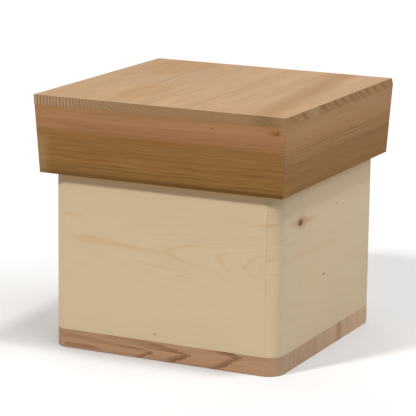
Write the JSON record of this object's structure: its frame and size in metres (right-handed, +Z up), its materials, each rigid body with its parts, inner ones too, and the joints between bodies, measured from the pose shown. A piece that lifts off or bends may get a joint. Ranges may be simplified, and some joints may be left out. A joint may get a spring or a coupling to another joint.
{
  "type": "beehive",
  "caption": "Small square wooden beehive: cedar floor, pine walls with rounded corners, removable frames, crown board and an overhanging cedar lid that lifts off.",
  "frame": {"origin": "middle of the body's plan, on the underside of the floor board", "axes": "+Z up; the bees' entrance is in the wall that faces +Y; the side walls face +X and -X"},
  "size_m": [0.2948, 0.2998, 0.2805],
  "materials": {
    "floor_cedar": "planed, unfinished western red cedar",
    "lid_cedar": "planed cedar, thin clear oil",
    "roof_cedar": "planed cedar, unfinished",
    "wall_pine": "planed and sanded pine, unfinished",
    "frame_pine": "planed pine, unfinished",
    "beech": "turned, unfinished",
    "plywood": "sanded birch plywood",
    "wood_fibre": "pressed soft wood-fibre board",
    "beeswax": null,
    "zinc_steel": "zinc-plated steel",
    "disc_steel": "pressed stainless steel"
  },
  "bodies": {
    "hive": {"floor_board": "floor_cedar", "floor_screws": "zinc_steel", "left_wall": "wall_pine", "right_wall": "wall_pine", "back_wall": "wall_pine", "entrance_wall": "wall_pine", "corner_dowels": "beech", "frame_runner_back": "zinc_steel", "frame_runner_front": "zinc_steel", "entrance_disc_screw": "zinc_steel"},
    "disc": {"entrance_disc": "disc_steel"},
    "frame_1": {"frame_1_top_bar": "frame_pine", "frame_1_back_bar": "frame_pine", "frame_1_front_bar": "frame_pine", "frame_1_bottom_bar": "frame_pine", "frame_1_wax_sheet": "beeswax"},
    "frame_2": {"frame_2_top_bar": "frame_pine", "frame_2_back_bar": "frame_pine", "frame_2_front_bar": "frame_pine", "frame_2_bottom_bar": "frame_pine", "frame_2_wax_sheet": "beeswax"},
    "frame_3": {"frame_3_top_bar": "frame_pine", "frame_3_back_bar": "frame_pine", "frame_3_front_bar": "frame_pine", "frame_3_bottom_bar": "frame_pine", "frame_3_wax_sheet": "beeswax"},
    "frame_4": {"frame_4_top_bar": "frame_pine", "frame_4_back_bar": "frame_pine", "frame_4_front_bar": "frame_pine", "frame_4_bottom_bar": "frame_pine", "frame_4_wax_sheet": "beeswax"},
    "frame_5": {"frame_5_top_bar": "frame_pine", "frame_5_back_bar": "frame_pine", "frame_5_front_bar": "frame_pine", "frame_5_bottom_bar": "frame_pine", "frame_5_wax_sheet": "beeswax"},
    "frame_6": {"frame_6_top_bar": "frame_pine", "frame_6_back_bar": "frame_pine", "frame_6_front_bar": "frame_pine", "frame_6_bottom_bar": "frame_pine", "frame_6_wax_sheet": "beeswax"},
    "dummy": {"dummy_board": "plywood"},
    "crown": {"crown_board": "plywood"},
    "plug": {"feed_hole_plug": "beech"},
    "lid": {"lid_back_board": "lid_cedar", "lid_right_board": "lid_cedar", "lid_front_board": "lid_cedar", "lid_left_board": "lid_cedar", "lid_top_board": "roof_cedar", "insulation_board": "wood_fibre", "lid_batten_back": "frame_pine", "lid_batten_front": "frame_pine", "lid_batten_screws": "zinc_steel", "lid_corner_blocks": "frame_pine"}
  },
  "joints": [
    {"name": "entrance_disc_turn", "type": "hinge", "parent": "hive", "child": "disc", "pos_m": [0, 0.1325, 0.0726], "axis": [0, 1, 0], "continuous": true},
    {"name": "lid_lift", "type": "slide", "parent": "hive", "child": "lid", "axis": [0, 0, 1], "range_m": [0, 0.45]},
    {"name": "plug_lift", "type": "slide", "parent": "hive", "child": "plug", "axis": [0, 0, 1], "range_m": [0, 0.315]},
    {"name": "crown_lift", "type": "slide", "parent": "hive", "child": "crown", "axis": [0, 0, 1], "range_m": [0, 0.27]},
    {"name": "frame_1_lift", "type": "slide", "parent": "hive", "child": "frame_1", "axis": [0, 0, 1], "range_m": [0, 0.189]},
    {"name": "frame_2_lift", "type": "slide", "parent": "hive", "child": "frame_2", "axis": [0, 0, 1], "range_m": [0, 0.189]},
    {"name": "frame_3_lift", "type": "slide", "parent": "hive", "child": "frame_3", "axis": [0, 0, 1], "range_m": [0, 0.189]},
    {"name": "frame_4_lift", "type": "slide", "parent": "hive", "child": "frame_4", "axis": [0, 0, 1], "range_m": [0, 0.189]},
    {"name": "frame_5_lift", "type": "slide", "parent": "hive", "child": "frame_5", "axis": [0, 0, 1], "range_m": [0, 0.189]},
    {"name": "frame_6_lift", "type": "slide", "parent": "hive", "child": "frame_6", "axis": [0, 0, 1], "range_m": [0, 0.189]},
    {"name": "dummy_lift", "type": "slide", "parent": "hive", "child": "dummy", "axis": [0, 0, 1], "range_m": [0, 0.189]}
  ],
  "couplings": [
    {"joint": "plug_lift", "follows": "lid_lift", "ratio": 0.7},
    {"joint": "crown_lift", "follows": "lid_lift", "ratio": 0.6},
    {"joint": "frame_1_lift", "follows": "lid_lift", "ratio": 0.42},
    {"joint": "frame_2_lift", "follows": "lid_lift", "ratio": 0.42},
    {"joint": "frame_3_lift", "follows": "lid_lift", "ratio": 0.42},
    {"joint": "frame_4_lift", "follows": "lid_lift", "ratio": 0.42},
    {"joint": "frame_5_lift", "follows": "lid_lift", "ratio": 0.42},
    {"joint": "frame_6_lift", "follows": "lid_lift", "ratio": 0.42},
    {"joint": "dummy_lift", "follows": "lid_lift", "ratio": 0.42}
  ]
}
